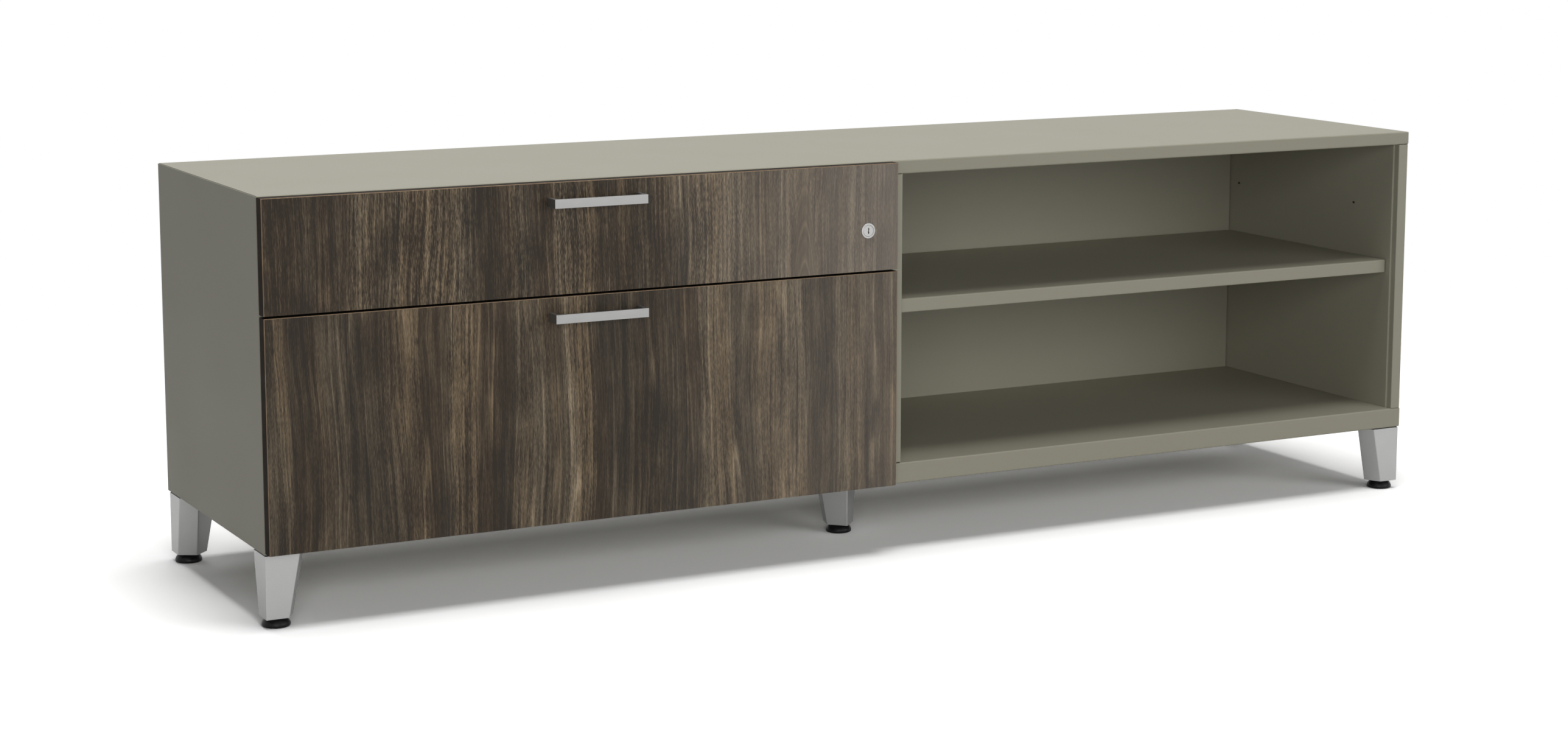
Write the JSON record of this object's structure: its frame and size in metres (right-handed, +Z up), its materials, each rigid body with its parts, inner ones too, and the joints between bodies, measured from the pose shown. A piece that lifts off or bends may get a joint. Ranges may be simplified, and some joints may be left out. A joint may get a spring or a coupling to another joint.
{
  "type": "office credenza",
  "caption": "Low steel office credenza on cast legs, with overlay wood-laminate drawers on the left, a lock, bar pulls and an open shelved bay on the right.",
  "frame": {"origin": "on the floor, at the middle of the overall width and depth", "axes": "+X to the right along the case as seen from the drawers' side, +Y to the back, +Z up"},
  "size_m": [1.8288, 0.4832, 0.5588],
  "materials": {
    "case_paint": "fine textured satin powder coat, warm grey",
    "inner_paint": "fine textured satin powder coat, warm grey",
    "wood_laminate": "dark walnut pattern laminate with a vertical grain, matte",
    "satin_metal": "satin nickel",
    "cast_leg": "die-cast, satin silver paint",
    "bright_lock": "polished, nickel plated",
    "zinc_steel": "bright zinc plated",
    "black_plastic": "black moulded",
    "soft_rubber": "dark, matte"
  },
  "bodies": {
    "case": {"top_panel": "case_paint", "top_stiffeners": "inner_paint", "side_panel_left": "case_paint", "side_panel_right": "case_paint", "side_liner_left": "inner_paint", "side_liner_right": "inner_paint", "centre_partition": "case_paint", "back_panel_left": "case_paint", "back_panel_right": "case_paint", "bottom_panel": "case_paint", "base_rails": "inner_paint", "divider_rail": "inner_paint", "shelf_clips": "zinc_steel", "leg_plates": "black_plastic", "leg_bolts": "zinc_steel", "leg_front_left": "cast_leg", "leg_front_right": "cast_leg", "leg_back_left": "cast_leg", "leg_back_right": "cast_leg", "leg_centre": "cast_leg", "upper_slide_case_left": "zinc_steel", "upper_slide_case_right": "zinc_steel", "lower_slide_case_left": "zinc_steel", "lower_slide_case_right": "zinc_steel"},
    "levelling_glide_front_left": {"glide_front_left": "black_plastic"},
    "levelling_glide_front_right": {"glide_front_right": "black_plastic"},
    "levelling_glide_back_left": {"glide_back_left": "black_plastic"},
    "levelling_glide_back_right": {"glide_back_right": "black_plastic"},
    "levelling_glide_centre": {"glide_centre": "black_plastic"},
    "upper_drawer": {"upper_front": "wood_laminate", "upper_front_pan": "inner_paint", "upper_tray": "inner_paint", "upper_tray_back": "inner_paint", "upper_pull": "satin_metal", "upper_pull_screws": "zinc_steel", "upper_bumpers": "soft_rubber", "upper_slide_drawer_left": "zinc_steel", "upper_slide_drawer_right": "zinc_steel", "lock_housing": "bright_lock", "lock_nut": "zinc_steel"},
    "upper_slide_middles": {"upper_slide_middle_left": "zinc_steel", "upper_slide_middle_right": "zinc_steel"},
    "lower_drawer": {"lower_front": "wood_laminate", "lower_front_pan": "inner_paint", "lower_tray": "inner_paint", "lower_tray_back": "inner_paint", "lower_pull": "satin_metal", "lower_pull_screws": "zinc_steel", "lower_bumpers": "soft_rubber", "file_rails": "zinc_steel", "lower_slide_drawer_left": "zinc_steel", "lower_slide_drawer_right": "zinc_steel"},
    "lower_slide_middles": {"lower_slide_middle_left": "zinc_steel", "lower_slide_middle_right": "zinc_steel"},
    "lock": {"lock_plug": "bright_lock", "lock_cam": "zinc_steel"},
    "loose_shelf": {"shelf": "inner_paint"}
  },
  "joints": [
    {"name": "level_front_left", "type": "slide", "parent": "case", "child": "levelling_glide_front_left", "axis": [0, 0, -1], "range_m": [0, 0.012]},
    {"name": "level_front_right", "type": "slide", "parent": "case", "child": "levelling_glide_front_right", "axis": [0, 0, -1], "range_m": [0, 0.012]},
    {"name": "level_back_left", "type": "slide", "parent": "case", "child": "levelling_glide_back_left", "axis": [0, 0, -1], "range_m": [0, 0.012]},
    {"name": "level_back_right", "type": "slide", "parent": "case", "child": "levelling_glide_back_right", "axis": [0, 0, -1], "range_m": [0, 0.012]},
    {"name": "level_centre", "type": "slide", "parent": "case", "child": "levelling_glide_centre", "axis": [0, 0, -1], "range_m": [0, 0.012]},
    {"name": "open_upper_drawer", "type": "slide", "parent": "case", "child": "upper_drawer", "axis": [0, -1, 0], "range_m": [0, 0.38]},
    {"name": "extend_upper_middles", "type": "slide", "parent": "case", "child": "upper_slide_middles", "axis": [0, -1, 0], "range_m": [0, 0.19]},
    {"name": "open_lower_drawer", "type": "slide", "parent": "case", "child": "lower_drawer", "axis": [0, -1, 0], "range_m": [0, 0.38]},
    {"name": "extend_lower_middles", "type": "slide", "parent": "case", "child": "lower_slide_middles", "axis": [0, -1, 0], "range_m": [0, 0.19]},
    {"name": "turn_lock", "type": "hinge", "parent": "upper_drawer", "child": "lock", "pos_m": [-0.04735, -0.1976, 0.4657], "axis": [0, -1, 0], "range_deg": [0, 90]},
    {"name": "lift_shelf", "type": "slide", "parent": "case", "child": "loose_shelf", "axis": [0, 0, 1], "range_m": [0, 0.02]}
  ],
  "couplings": [
    {"joint": "extend_upper_middles", "follows": "open_upper_drawer", "ratio": 0.5},
    {"joint": "extend_lower_middles", "follows": "open_lower_drawer", "ratio": 0.5}
  ]
}
